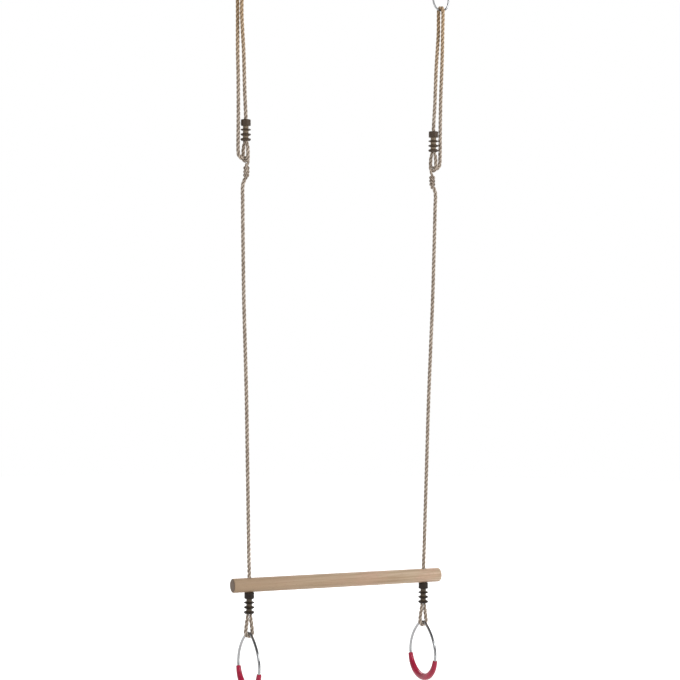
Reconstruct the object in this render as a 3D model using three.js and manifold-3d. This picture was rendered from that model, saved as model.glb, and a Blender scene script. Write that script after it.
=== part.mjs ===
// A hanging play trapeze: a round wooden bar on two ropes, each rope looped over a
// steel hanging ring and knotted for length, with a hand ring hung under each end of the bar.
// Millimetres, +Z up, X along the bar. The origin lies midway between the points where
// the two hanging rings hang from their hooks.
import * as THREE from 'three';
import { mergeVertices } from 'three/addons/utils/BufferGeometryUtils.js';
import Module from 'manifold-3d';

const wasm = await Module();
wasm.setup();

// Driving dimensions
const barDrop = 1540;              // hooks down to the bar's axis
const barLength = 586;
const barDiameter = 36;
const barEdgeRadius = 4;
const barHoleDiameter = 11;
const ropeInset = 46.5;            // from each end of the bar to the rope's hole

const ropeDiameter = 10;
const squeezedRopeDiameter = 7.2;  // the rope where a ferrule grips it
const seatGap = 0.3;               // between pieces that rest on each other
const cutOverrun = 2;

const hangingWireDiameter = 5;
const hangingRingBore = 50;
const hangingRingSpacing = 570;
const hangingRingTurn = THREE.MathUtils.degToRad(15.5);  // of the ring's plane from the bar's line

const ferruleLength = 53.7;
const collarDiameter = 25;
const collarHeight = 16.2;
const collarEdgeRadius = 2.2;
const ribDiameter = 26.2;
const ribRootDiameter = 14.4;
const ribPitch = 12.1;
const ribRimThickness = 2.8;
const ribRootThickness = 8;
const slimRibRimThickness = 2.2;   // the rib next to the collar
const slimRibRootThickness = 6.4;
const ribBulgeShare = 0.2;         // of half a flank's width, half way out
const lastRibHeight = 3.8;           // its middle above the mouth
const mouthDiameter = 21.4;
const mouthFlareWidth = 1.4;
const mouthFlareDepth = 2.4;
const ropeSocketDepth = 40;

const upperFerruleX = 266;
const upperFerruleDrop = 372;      // hooks down to its collar

const lowerEyeLength = 48.3;       // ferrule mouth to the middle of the bend
const lowerLegSpacing = 8.4;       // between its two legs at the ferrule's mouth
const upperEyeLength = 39;
const upperEyeHalfWidth = 10.9;
const upperLegSpacing = 10.4;
const upperEyeTurn = THREE.MathUtils.degToRad(-78.8);

const handWireDiameter = 7;
const handRingHeight = 145;        // between wire centres
const handRingHalfWidth = 70;
const gripBore = handWireDiameter + 2 * seatGap;
const gripEndDiameter = 12;
const gripBellyDiameter = 18.8;
const gripEndRound = 2;
const gripStart = 92;              // its ends below the top of the hand ring

const knotRopeDiameter = 6.8;      // the rope is pulled thin in the knot
const knotX = 263.5;
const knotTop = 489.6;             // hooks down to the twist's upper end
const knotTwistHeight = 26.2;
const knotTwistRadius = 4.9;
const knotBendRadius = 4;
const knotLead = 0.7;              // from the twist's ends to the bends
const knotTurns = 1.5;
const knotBackDirection = THREE.MathUtils.degToRad(66);
const thinLeadPoints = 6;          // points of the route above the knot that are pulled thin too

// Lengths that follow from the driving ones
const holeX = barLength / 2 - ropeInset;
const hangingRingX = hangingRingSpacing / 2;
const hangingRingRadius = (hangingRingBore + hangingWireDiameter) / 2;
const hangingRingZ = -hangingRingBore / 2;
const bightZ = hangingRingZ - hangingRingRadius;
const bightRise = (hangingWireDiameter + ropeDiameter) / 2 + seatGap;
const lowerFerruleZ = -barDrop - barDiameter / 2 - seatGap;
const lowerMouthZ = lowerFerruleZ - ferruleLength;
const upperMouthZ = -upperFerruleDrop - ferruleLength;
const handRingZ = lowerMouthZ - lowerEyeLength;
const lowerEyeHalfWidth = (handWireDiameter + ropeDiameter) / 2 + seatGap;

// The rope's route on the right-hand side, from the upper ferrule up to the hanging ring
const risingRoute = [
  [266, 0, -390], [266.1, 0, -368], [267.4, 0, -340], [269.4, 0, -305], [271.3, 0.8, -262],
  [274, 2.3, -205], [278.8, 5.2, -152], [282, 7, -112], [282.4, 7.4, -86],
  [282.5, 7.7, -66],
];
// From the hanging ring down through the upper eye to the knot
const fallingRoute = [
  [287.5, -7.7, -66], [287.6, -7.4, -86], [287.4, -7, -112], [287.9, -5.2, -152],
  [288.4, -2.3, -205], [287.2, -0.8, -262], [286.4, 0, -330], [286.2, 0, -380],
  [286.4, 0.2, -420], [286.3, 0.5, -448], [285.4, 0.9, -459.5], [281.8, 1.3, -466.8],
  [275.6, 1.4, -469.6], [270.6, 1.1, -467.9], [266.4, 0.6, -466.6], [260.4, -1, -467.8],
  [257.4, -2.6, -471.4], [256.6, -3.4, -476.2], [258, -4, -481.8],
];
// From the knot down to the bar's hole
const mainRoute = [
  [266.2, -5.6, -523.4], [270.4, -4.6, -534.6], [272.4, -2.2, -548], [272.6, -0.4, -570],
  [272.2, 0, -610], [270.4, 0, -700], [267.5, 0, -820], [262.6, 0, -950], [258, 0, -1077],
  [254.4, 0, -1220], [251.6, 0, -1334], [250, 0, -1400], [248.5, 0, -1463], [247.2, 0, -1505],
  [246.5, 0, -1540],
];

const beech = new THREE.MeshStandardMaterial({ color: 0xc2a282, roughness: 0.62, metalness: 0 });
const hemp = new THREE.MeshStandardMaterial({ color: 0xa88f78, roughness: 0.9, metalness: 0 });
const darkPlastic = new THREE.MeshStandardMaterial({ color: 0x2a221a, roughness: 0.5, metalness: 0 });
const steel = new THREE.MeshStandardMaterial({ color: 0xb4b6b8, roughness: 0.25, metalness: 1 });
const redPlastic = new THREE.MeshStandardMaterial({ color: 0xa02a42, roughness: 0.3, metalness: 0 });

function solid(geometry) {
  const bare = geometry.clone();
  bare.deleteAttribute('normal');
  bare.deleteAttribute('uv');
  const merged = mergeVertices(bare);
  const vertProperties = new Float32Array(merged.attributes.position.array);
  const triVerts = new Uint32Array(merged.index.array);
  return new wasm.Manifold(new wasm.Mesh({ numProp: 3, vertProperties, triVerts }));
}

function geometryOf(manifold) {
  const mesh = manifold.getMesh();
  const geometry = new THREE.BufferGeometry();
  geometry.setAttribute('position', new THREE.BufferAttribute(mesh.vertProperties, 3));
  geometry.setIndex(new THREE.BufferAttribute(mesh.triVerts, 1));
  geometry.computeVertexNormals();
  return geometry;
}

// A round profile, given as radius and height from its lower to its upper end, turned about Z
function turned(profile, segments) {
  const points = profile.map(([radius, height]) => new THREE.Vector2(radius, height));
  return new THREE.LatheGeometry(points, segments).rotateX(Math.PI / 2);
}

// A round tube through a list of centres, each with its own radius, open or closed in a loop
function tube(centres, radii, sides, closed = false, directions = []) {
  const count = centres.length;
  const tangentAt = (ring) => {
    if (directions[ring]) return directions[ring];
    const before = closed ? (ring + count - 1) % count : Math.max(ring - 1, 0);
    const after = closed ? (ring + 1) % count : Math.min(ring + 1, count - 1);
    return centres[after].clone().sub(centres[before]).normalize();
  };
  const positions = [];
  let tangent = tangentAt(0);
  const axis = Math.abs(tangent.y) < 1 / 2 ? new THREE.Vector3(0, 1, 0) : new THREE.Vector3(1, 0, 0);
  const normal = axis.addScaledVector(tangent, -axis.dot(tangent)).normalize();
  for (let ring = 0; ring < count; ring += 1) {
    const next = tangentAt(ring);
    const turn = new THREE.Quaternion().setFromUnitVectors(tangent, next);
    tangent = next;
    normal.applyQuaternion(turn).addScaledVector(tangent, -normal.dot(tangent)).normalize();
    const binormal = tangent.clone().cross(normal);
    for (let side = 0; side < sides; side += 1) {
      const angle = (2 * Math.PI * side) / sides;
      const point = centres[ring].clone();
      point.addScaledVector(normal, radii[ring] * Math.cos(angle));
      point.addScaledVector(binormal, radii[ring] * Math.sin(angle));
      positions.push(point.x, point.y, point.z);
    }
  }
  const index = [];
  for (let ring = 0; ring < (closed ? count : count - 1); ring += 1) {
    const near = ring * sides;
    const far = ((ring + 1) % count) * sides;
    for (let side = 0; side < sides; side += 1) {
      const other = (side + 1) % sides;
      index.push(near + side, near + other, far + other);
      index.push(near + side, far + other, far + side);
    }
  }
  if (!closed) {
    const last = (count - 1) * sides;
    for (let side = 1; side < sides - 1; side += 1) {
      index.push(0, side + 1, side);
      index.push(last, last + side, last + side + 1);
    }
  }
  const geometry = new THREE.BufferGeometry();
  geometry.setAttribute('position', new THREE.Float32BufferAttribute(positions, 3));
  geometry.setIndex(index);
  geometry.computeVertexNormals();
  return geometry;
}

// A slot with round ends, as a stack of levels that give its end radius and height
function slotCutter(halfSpacing, levels) {
  const arcSteps = 5;
  const positions = [];
  for (const [radius, height] of levels) {
    for (const end of [1, -1]) {
      for (let step = 0; step <= arcSteps; step += 1) {
        const angle = Math.PI * (step / arcSteps - 1 / 2);
        const x = end * (halfSpacing + radius * Math.cos(angle));
        positions.push(x, end * radius * Math.sin(angle), height);
      }
    }
  }
  const count = 2 * (arcSteps + 1);
  const index = [];
  for (let level = 0; level < levels.length - 1; level += 1) {
    for (let point = 0; point < count; point += 1) {
      const other = (point + 1) % count;
      const low = level * count;
      const high = low + count;
      index.push(low + point, low + other, high + other);
      index.push(low + point, high + other, high + point);
    }
  }
  const top = (levels.length - 1) * count;
  for (let point = 1; point < count - 1; point += 1) {
    index.push(0, point + 1, point);
    index.push(top, top + point, top + point + 1);
  }
  const geometry = new THREE.BufferGeometry();
  geometry.setAttribute('position', new THREE.Float32BufferAttribute(positions, 3));
  geometry.setIndex(index);
  return geometry;
}

function barGeometry() {
  const radius = barDiameter / 2;
  const half = barLength / 2;
  const arcSteps = 3;
  const profile = [[0, -half]];
  for (let step = 0; step <= arcSteps; step += 1) {
    const angle = (Math.PI / 2) * (step / arcSteps);
    const out = radius - barEdgeRadius * (1 - Math.sin(angle));
    profile.push([out, -half + barEdgeRadius * (1 - Math.cos(angle))]);
  }
  for (let step = arcSteps; step >= 0; step -= 1) {
    const angle = (Math.PI / 2) * (step / arcSteps);
    const out = radius - barEdgeRadius * (1 - Math.sin(angle));
    profile.push([out, half - barEdgeRadius * (1 - Math.cos(angle))]);
  }
  profile.push([0, half]);
  const rod = turned(profile, 40).rotateY(Math.PI / 2);
  const drill = new THREE.CylinderGeometry(
    barHoleDiameter / 2, barHoleDiameter / 2, barDiameter + 2 * cutOverrun, 16,
  ).rotateX(Math.PI / 2);
  const rightHole = solid(drill.clone().translate(holeX, 0, 0));
  const leftHole = solid(drill.clone().translate(-holeX, 0, 0));
  return geometryOf(solid(rod).subtract(rightHole).subtract(leftHole));
}

// The ribbed ferrule stands with its collar's top at zero and its mouth below
function ferruleProfile() {
  const root = ribRootDiameter / 2;
  const rim = ribDiameter / 2;
  const profile = [[0, -ferruleLength], [mouthDiameter / 2, -ferruleLength]];
  const fullRib = [ribRimThickness / 2, ribRootThickness / 2];
  const slimRib = [slimRibRimThickness / 2, slimRibRootThickness / 2];
  [fullRib, fullRib, slimRib].forEach(([rimHalf, rootHalf], number) => {
    const middle = -ferruleLength + lastRibHeight + number * ribPitch;
    const rimRound = rimHalf / 2;
    const flank = (rimHalf + rootHalf) / 2 + (ribBulgeShare * (rootHalf - rimHalf)) / 2;
    const flankRadius = (root + rim) / 2;
    if (number > 0) profile.push([root, middle - rootHalf], [flankRadius, middle - flank]);
    profile.push([rim - rimRound, middle - rimHalf]);
    profile.push([rim, middle - rimHalf + rimRound]);
    profile.push([rim, middle + rimHalf - rimRound]);
    profile.push([rim - rimRound, middle + rimHalf]);
    profile.push([flankRadius, middle + flank], [root, middle + rootHalf]);
  });
  const collar = collarDiameter / 2;
  const arcSteps = 3;
  profile.push([root, -collarHeight]);
  for (let step = 0; step <= arcSteps; step += 1) {
    const angle = (Math.PI / 2) * (step / arcSteps);
    const out = collar - collarEdgeRadius * (1 - Math.sin(angle));
    profile.push([out, -collarHeight + collarEdgeRadius * (1 - Math.cos(angle))]);
  }
  for (let step = arcSteps; step >= 0; step -= 1) {
    const angle = (Math.PI / 2) * (step / arcSteps);
    const out = collar - collarEdgeRadius * (1 - Math.sin(angle));
    profile.push([out, -collarEdgeRadius * (1 - Math.cos(angle))]);
  }
  profile.push([0, 0]);
  return profile;
}

function ferruleGeometry(legSpacing, slotTurn) {
  const socketRadius = ropeDiameter / 2 + seatGap;
  const socketHeight = ropeSocketDepth + cutOverrun;
  const socket = new THREE.CylinderGeometry(socketRadius, socketRadius, socketHeight, 16)
    .rotateX(Math.PI / 2).translate(0, 0, cutOverrun - socketHeight / 2);
  const legRadius = squeezedRopeDiameter / 2 + seatGap;
  const flareRadius = legRadius + mouthFlareWidth;
  const mouth = slotCutter(legSpacing / 2, [
    [flareRadius, -ferruleLength - cutOverrun],
    [flareRadius, -ferruleLength],
    [legRadius, -ferruleLength + mouthFlareDepth],
    [legRadius, -ferruleLength + legRadius],
  ]).rotateZ(slotTurn);
  const body = solid(turned(ferruleProfile(), 20));
  return geometryOf(body.subtract(solid(socket)).subtract(solid(mouth)));
}

// A rope eye hangs from a ferrule's mouth at zero; its two legs end in round tips there
// Down its length and out to its half width
const lowerEyeShares = [[0.16, 0.07], [0.34, 0.22], [0.6, 0.58], [0.84, 0.92]];
const upperEyeShares = [[0.1, 0.1], [0.27, 0.5], [0.48, 0.84], [0.74, 0.99]];
const eyeGrowthShare = 0.16;  // of its length, over which the squeezed rope regains its size

function eyeGeometry(outlineShares, legSpacing, length, halfWidth, turn) {
  const mouthHalf = legSpacing / 2;
  const leg = [new THREE.Vector3(mouthHalf, 0, 0)];
  for (const [down, spread] of outlineShares) {
    leg.push(new THREE.Vector3(mouthHalf + spread * (halfWidth - mouthHalf), 0, -down * length));
  }
  const otherLeg = leg.map((point) => new THREE.Vector3(-point.x, 0, point.z)).reverse();
  const bend = [];
  const arcSteps = 8;
  for (let step = 0; step <= arcSteps; step += 1) {
    const angle = (Math.PI * step) / arcSteps;
    const x = halfWidth * Math.cos(angle);
    bend.push(new THREE.Vector3(x, 0, -length - halfWidth * Math.sin(angle)));
  }
  const curve = new THREE.CatmullRomCurve3([...leg, ...bend, ...otherLeg], false, 'centripetal');
  const steps = 24;
  const centres = curve.getPoints(steps);
  const radii = centres.map((point, step) => {
    const fromEnd = Math.min(step, steps - step) / steps / eyeGrowthShare;
    const grown = THREE.MathUtils.smoothstep(fromEnd, 0, 1);
    return (squeezedRopeDiameter + (ropeDiameter - squeezedRopeDiameter) * grown) / 2;
  });
  let eye = solid(tube(centres, radii, 8));
  for (const side of [1, -1]) {
    const tip = new THREE.SphereGeometry(squeezedRopeDiameter / 2, 8, 6)
      .translate(side * mouthHalf, 0, 0);
    eye = eye.add(solid(tip));
  }
  return geometryOf(eye).rotateZ(turn);
}

// The knot: two strands wind round each other, and a bend behind joins bottom to top
function knotPoints() {
  const backX = Math.cos(knotBackDirection);
  const backY = Math.sin(knotBackDirection);
  const points = [];
  const strandSteps = 13;
  const wind = (startAngle) => {
    for (let step = 0; step <= strandSteps; step += 1) {
      const share = step / strandSteps;
      const angle = startAngle + 2 * Math.PI * knotTurns * share;
      const x = knotX + knotTwistRadius * Math.cos(angle);
      const y = knotTwistRadius * Math.sin(angle);
      points.push(new THREE.Vector3(x, y, -knotTop - share * knotTwistHeight));
    }
  };
  const behind = (outward, drop) => {
    points.push(new THREE.Vector3(knotX + outward * backX, outward * backY, -knotTop - drop));
  };
  const bend = (lowest, sign) => {
    const arcSteps = 4;
    for (let step = 1; step < arcSteps; step += 1) {
      const angle = (Math.PI * step) / arcSteps;
      const outward = knotTwistRadius + knotBendRadius * (1 - sign * Math.cos(angle));
      behind(outward, lowest + sign * knotBendRadius * Math.sin(angle));
    }
  };
  const farSide = knotTwistRadius + 2 * knotBendRadius;
  const riseSteps = 4;
  wind(knotBackDirection + Math.PI);
  bend(knotTwistHeight + knotLead, 1);
  for (let step = 0; step <= riseSteps; step += 1) {
    behind(farSide, knotTwistHeight * (1 - step / riseSteps));
  }
  bend(-knotLead, -1);
  wind(knotBackDirection);
  return points;
}

// The bend of rope over the hanging ring, from the rising to the falling strand
function bightPoints() {
  const across = hangingRingTurn - Math.PI / 2;
  const arcSteps = 8;
  const legHalf = bightRise + seatGap;
  const points = [];
  for (let step = 0; step <= arcSteps; step += 1) {
    const angle = (Math.PI * step) / arcSteps;
    const outward = -legHalf * Math.cos(angle);
    const x = hangingRingX + outward * Math.cos(across);
    const y = outward * Math.sin(across);
    points.push(new THREE.Vector3(x, y, bightZ + bightRise * Math.sin(angle)));
  }
  return points;
}

// The whole rope of one side as a single curve, and where its stretches begin and end on it
function ropeRoute() {
  const place = (route) => route.map(([x, y, z]) => new THREE.Vector3(x, y, z));
  const upperEnd = -upperFerruleDrop - ropeSocketDepth + seatGap;
  const lowerEnd = lowerFerruleZ - ropeSocketDepth + seatGap;
  const loop = [
    new THREE.Vector3(upperFerruleX, 0, upperEnd), ...place(risingRoute), ...bightPoints(),
    ...place(fallingRoute),
  ];
  const knot = knotPoints();
  const main = [...place(mainRoute), new THREE.Vector3(holeX, 0, lowerEnd)];
  const points = [...loop, ...knot, ...main];
  const knotStart = loop.length;
  const knotEnd = loop.length + knot.length - 1;
  const diameters = points.map((point, number) => (
    number >= knotStart - thinLeadPoints && number <= knotEnd ? knotRopeDiameter : ropeDiameter
  ));
  const curve = new THREE.CatmullRomCurve3(points, false, 'centripetal');
  return { curve, points, diameters, knotStart, knotEnd, end: points.length - 1 };
}

// The stretch of rope from one of the route's points to another, a seat gap apart from the next
function ropeStretch(route, from, to, sides) {
  const stepShare = 4;  // the longest step, as a share of the diameter
  const centres = [];
  const radii = [];
  const directions = [];
  const addRing = (number, share) => {
    const along = (number + share) / route.end;
    const next = Math.min(number + 1, route.end);
    const growth = route.diameters[next] - route.diameters[number];
    centres.push(route.curve.getPoint(along));
    directions.push(route.curve.getTangent(along));
    radii.push((route.diameters[number] + share * growth) / 2);
  };
  for (let number = from; number < to; number += 1) {
    const span = route.points[number].distanceTo(route.points[number + 1]);
    const steps = Math.ceil(span / (stepShare * ropeDiameter));
    for (let step = 0; step < steps; step += 1) addRing(number, step / steps);
  }
  addRing(to, 0);
  centres[0].addScaledVector(directions[0], seatGap / 2);
  centres[centres.length - 1].addScaledVector(directions[centres.length - 1], -seatGap / 2);
  return tube(centres, radii, sides, false, directions);
}

function leastKnotGap(route) {
  const sampleCount = 400;
  const neighbourShare = 1.6;  // of the diameter, the length of rope that counts as one place
  const samples = [];
  for (let step = 0; step <= sampleCount; step += 1) {
    const number = route.knotStart + ((route.knotEnd - route.knotStart) * step) / sampleCount;
    samples.push(route.curve.getPoint(number / route.end));
  }
  let least = Infinity;
  for (let first = 0; first < sampleCount; first += 1) {
    let along = 0;
    for (let second = first + 1; second <= sampleCount; second += 1) {
      along += samples[second].distanceTo(samples[second - 1]);
      if (along < neighbourShare * knotRopeDiameter) continue;
      least = Math.min(least, samples[first].distanceTo(samples[second]));
    }
  }
  return least - knotRopeDiameter;
}

// The hand ring's outline, as shares of its half width and its height
const handRingShares = [
  [0, 0], [0.13, 0.01], [0.29, 0.05], [0.55, 0.145], [0.76, 0.255], [0.9, 0.365], [0.98, 0.475],
  [1, 0.575], [0.965, 0.68], [0.87, 0.785], [0.72, 0.87], [0.52, 0.94], [0.27, 0.985], [0, 1],
];

function handRingCurve() {
  const at = ([wide, down], side) => new THREE.Vector3(
    0, side * wide * handRingHalfWidth, -down * handRingHeight,
  );
  const far = handRingShares.map((share) => at(share, 1));
  const near = handRingShares.slice(1, -1).reverse().map((share) => at(share, -1));
  const curve = new THREE.CatmullRomCurve3([...far, ...near], true, 'centripetal');
  curve.arcLengthDivisions = 800;
  return curve;
}

function wireLoop(diameter) {
  const centres = handRingCurve().getSpacedPoints(44).slice(0, -1);
  return tube(centres, centres.map(() => diameter / 2), 8, true);
}

// The grip sleeve covers the hand ring below gripStart and swells towards its middle
function gripGeometry() {
  const covered = handRingCurve().getSpacedPoints(240).filter((point) => point.z < -gripStart);
  const curve = new THREE.CatmullRomCurve3(covered, false, 'centripetal');
  const steps = 24;
  const length = curve.getLength();
  const roundShare = gripEndRound / length;
  const shares = [0, roundShare / 3, roundShare];
  for (let step = 1; step < steps; step += 1) shares.push(step / steps);
  shares.push(1 - roundShare, 1 - roundShare / 3, 1);
  const centres = shares.map((share) => curve.getPointAt(share));
  const radii = shares.map((share) => {
    const belly = Math.sin(Math.PI * share);
    const full = (gripEndDiameter + (gripBellyDiameter - gripEndDiameter) * belly) / 2;
    const rounding = Math.max(0, 1 - Math.min(share, 1 - share) / roundShare);
    return full - (gripEndRound / 2) * rounding * rounding;
  });
  return geometryOf(solid(tube(centres, radii, 12)).subtract(solid(wireLoop(gripBore))));
}

function piece(name, geometry, material, x = 0, z = 0) {
  const mesh = new THREE.Mesh(geometry, material);
  mesh.name = name;
  mesh.position.set(x, 0, z);
  return mesh;
}

const route = ropeRoute();
console.log('least gap of the knot to itself, mm:', leastKnotGap(route).toFixed(2));

// One side of the trapeze, drawn for the right; the left is the same side turned half round
function ropeSide(side) {
  const hangingRing = new THREE.TorusGeometry(hangingRingRadius, hangingWireDiameter / 2, 8, 34)
    .rotateX(Math.PI / 2).rotateZ(hangingRingTurn);
  const hangingLoop = ropeStretch(route, 0, route.knotStart, 8);
  const knot = ropeStretch(route, route.knotStart, route.knotEnd, 8);
  const mainRope = ropeStretch(route, route.knotEnd, route.end, 8);
  const upperEye = eyeGeometry(
    upperEyeShares, upperLegSpacing, upperEyeLength, upperEyeHalfWidth, upperEyeTurn,
  );
  const lowerEye = eyeGeometry(
    lowerEyeShares, lowerLegSpacing, lowerEyeLength, lowerEyeHalfWidth, 0,
  );
  const group = new THREE.Group();
  group.add(
    piece(`${side}_hanging_ring`, hangingRing, steel, hangingRingX, hangingRingZ),
    piece(`${side}_hanging_loop`, hangingLoop, hemp),
    piece(`${side}_upper_ferrule`, ferruleGeometry(upperLegSpacing, upperEyeTurn),
      darkPlastic, upperFerruleX, -upperFerruleDrop),
    piece(`${side}_upper_eye`, upperEye, hemp, upperFerruleX, upperMouthZ),
    piece(`${side}_knot`, knot, hemp),
    piece(`${side}_main_rope`, mainRope, hemp),
    piece(`${side}_lower_ferrule`, ferruleGeometry(lowerLegSpacing, 0), darkPlastic, holeX,
      lowerFerruleZ),
    piece(`${side}_lower_eye`, lowerEye, hemp, holeX, lowerMouthZ),
    piece(`${side}_hand_ring`, wireLoop(handWireDiameter), steel, holeX, handRingZ),
    piece(`${side}_hand_grip`, gripGeometry(), redPlastic, holeX, handRingZ),
  );
  return group;
}

const trapeze = new THREE.Group();
trapeze.add(piece('bar', barGeometry(), beech, 0, -barDrop));
trapeze.add(ropeSide('right'));
const leftSide = ropeSide('left');
leftSide.rotation.z = Math.PI;
trapeze.add(leftSide);

export default trapeze;
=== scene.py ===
# Play trapeze with hand rings: wooden bar, three-strand ropes, ribbed ferrules, steel rings, red grips.
# Metres, +Z up, X along the bar; the origin is midway between the two hooks that it hangs from.
import math
import bpy
import numpy as np
from mathutils import Matrix, Vector


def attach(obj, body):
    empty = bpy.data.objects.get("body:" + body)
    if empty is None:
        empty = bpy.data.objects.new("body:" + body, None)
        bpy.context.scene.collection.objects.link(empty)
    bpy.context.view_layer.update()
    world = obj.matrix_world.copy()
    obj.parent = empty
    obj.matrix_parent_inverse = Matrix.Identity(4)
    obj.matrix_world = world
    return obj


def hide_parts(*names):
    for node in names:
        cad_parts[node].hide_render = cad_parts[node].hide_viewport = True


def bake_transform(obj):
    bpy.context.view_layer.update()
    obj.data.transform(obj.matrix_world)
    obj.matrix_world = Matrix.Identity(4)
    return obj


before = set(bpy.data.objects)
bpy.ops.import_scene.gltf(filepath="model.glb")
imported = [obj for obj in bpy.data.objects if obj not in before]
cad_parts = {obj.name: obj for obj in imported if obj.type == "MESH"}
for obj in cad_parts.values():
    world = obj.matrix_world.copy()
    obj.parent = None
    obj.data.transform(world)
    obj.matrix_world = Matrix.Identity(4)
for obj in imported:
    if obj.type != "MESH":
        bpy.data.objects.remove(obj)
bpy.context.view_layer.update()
print("frame loaded:", len(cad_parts), "nodes")

cameraSizes = {
    "place": (-1.9346, -4.1474, -0.923),
    "yaw": 25.0,      # degrees, to the right of looking square at the bar
    "roll": 0.46,
    "lens": 94.27,    # millimetres
    "sensor": 36.0,
}


def makeCamera(sizes):
    yaw, roll = math.radians(sizes["yaw"]), math.radians(sizes["roll"])
    ahead = Vector((math.sin(yaw), math.cos(yaw), 0))
    level = Vector((math.cos(yaw), -math.sin(yaw), 0))
    right = level * math.cos(roll) + Vector((0, 0, 1)) * math.sin(roll)
    up = right.cross(ahead)
    data = bpy.data.cameras.new("photoCamera")
    data.lens, data.sensor_width = sizes["lens"], sizes["sensor"]
    camera = bpy.data.objects.new("photoCamera", data)
    camera.matrix_world = Matrix((right, up, -ahead)).transposed().to_4x4()
    camera.location = sizes["place"]
    bpy.context.scene.collection.objects.link(camera)
    bpy.context.scene.camera = camera


makeCamera(cameraSizes)
print("camera placed")


# Small helpers for node trees
def addNode(tree, kind, inputs=None, **settings):
    node = tree.nodes.new(kind)
    for name, value in settings.items():
        setattr(node, name, value)
    for name, value in (inputs or {}).items():
        socket = node.inputs[name]
        if isinstance(value, bpy.types.NodeSocket):
            tree.links.new(value, socket)
        else:
            socket.default_value = value
    return node


def calc(tree, operation, first, second=0.0, third=0.0):
    return addNode(tree, "ShaderNodeMath", {0: first, 1: second, 2: third}, operation=operation).outputs[0]


def times(tree, first, second):
    return calc(tree, "MULTIPLY", first, second)


def plus(tree, first, second):
    return calc(tree, "ADD", first, second)


def minus(tree, first, second):
    return calc(tree, "SUBTRACT", first, second)


def flip(tree, share):    # 1 where the share is 0, and the other way round
    return minus(tree, 1.0, share)


def easeBetween(tree, value, low, high):    # 0 below low, 1 above high, smooth between
    return addNode(tree, "ShaderNodeMapRange", {"Value": value, "From Min": low, "From Max": high},
                   interpolation_type="SMOOTHSTEP").outputs["Result"]


def mixNumber(tree, share, first, second):
    return addNode(tree, "ShaderNodeMix", {0: share, 2: first, 3: second}, data_type="FLOAT").outputs[0]


def outFrom(tree, across, upward):    # distance from an axis
    squares = [times(tree, part, part) for part in (across, upward)]
    return calc(tree, "SQRT", plus(tree, *squares))


def split(tree, vector):    # its x, y and z
    return addNode(tree, "ShaderNodeSeparateXYZ", {0: vector}).outputs


def noise(tree, vector, scale, detail=2.0, **more):
    return addNode(tree, "ShaderNodeTexNoise",
                   {"Vector": vector, "Scale": scale, "Detail": detail, **more}).outputs[0]


def openTree(name, kind, inputs, outputs):
    tree = bpy.data.node_groups.new(name, kind)
    for inOut, rows in (("INPUT", inputs), ("OUTPUT", outputs)):
        for label, socketKind, *value in rows:
            socket = tree.interface.new_socket(label, in_out=inOut, socket_type="NodeSocket" + socketKind)
            if value:
                socket.default_value = value[0]
    return tree, tree.nodes.new("NodeGroupInput").outputs, tree.nodes.new("NodeGroupOutput").inputs


def openShapeTree(name, sizes):    # a shape's tree, with one named input for each of its sizes
    rows = [(label, "Int" if isinstance(value, int) else "Float", value) for label, value in sizes.items()]
    return openTree(name, "GeometryNodeTree",
                    [("Geometry", "Geometry"), *rows, ("Material", "Material")], [("Geometry", "Geometry")])


def closeShapeTree(tree, outputs, geometry, material, sharpAngle=0.6):
    smooth = addNode(tree, "GeometryNodeSetShadeSmooth", {"Geometry": geometry})
    edgeAngle = tree.nodes.new("GeometryNodeInputMeshEdgeAngle").outputs[0]
    bend = calc(tree, "GREATER_THAN", edgeAngle, sharpAngle)
    sharp = addNode(tree, "GeometryNodeSetShadeSmooth",
                    {"Geometry": smooth.outputs[0], "Selection": bend, "Shade Smooth": False}, domain="EDGE")
    real = addNode(tree, "GeometryNodeRealizeInstances", {"Geometry": sharp.outputs[0]})
    painted = addNode(tree, "GeometryNodeSetMaterial", {"Geometry": real.outputs[0], "Material": material})
    tree.links.new(painted.outputs[0], outputs["Geometry"])


def addPiece(name, mesh):
    mesh.name = name
    piece = bpy.data.objects.new(name, mesh)
    bpy.context.scene.collection.objects.link(piece)
    return piece


def runTree(name, tree, values, points=((0, 0, 0),), edges=(), numbers=None):
    guideMesh = bpy.data.meshes.new(name + "Guide")
    guideMesh.from_pydata([tuple(p) for p in points], list(edges), [])
    for label, column in (numbers or {}).items():
        guideMesh.attributes.new(label, "FLOAT", "POINT").data.foreach_set("value", column)
    guide = bpy.data.objects.new(name + "Guide", guideMesh)
    bpy.context.scene.collection.objects.link(guide)
    shaper = guide.modifiers.new("shape", "NODES")
    shaper.node_group = tree
    sockets = {s.name: s.identifier for s in tree.interface.items_tree
               if s.item_type == "SOCKET" and s.in_out == "INPUT"}
    for label, value in values.items():
        shaper[sockets[label]] = value
    shown = guide.evaluated_get(bpy.context.evaluated_depsgraph_get())
    piece = addPiece(name, bpy.data.meshes.new_from_object(shown))
    bpy.data.objects.remove(guide)
    return piece


# Shared shader groups; fineTimes and patchTimes multiply their Scale input
mottleLook = {"detail": 3.0, "fineTimes": 6.5, "fineDetail": 4.0}
wearLook = {
    "detail": 5.0, "distortion": 1.4, "lineWidth": 0.018, "patchTimes": 0.16, "patchEdges": (0.52, 0.68),
}


def makeMottle(look):    # soft blotches of two sizes, about a half on average
    tree, given, out = openTree("mottle", "ShaderNodeTree",
                                [("Vector", "Vector"), ("Scale", "Float"), ("Fine Share", "Float")],
                                [("Amount", "Float")])
    broad = noise(tree, given["Vector"], given["Scale"], look["detail"])
    fineScale = times(tree, given["Scale"], look["fineTimes"])
    fine = noise(tree, given["Vector"], fineScale, look["fineDetail"])
    tree.links.new(mixNumber(tree, given["Fine Share"], broad, fine), out["Amount"])
    return tree


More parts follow.
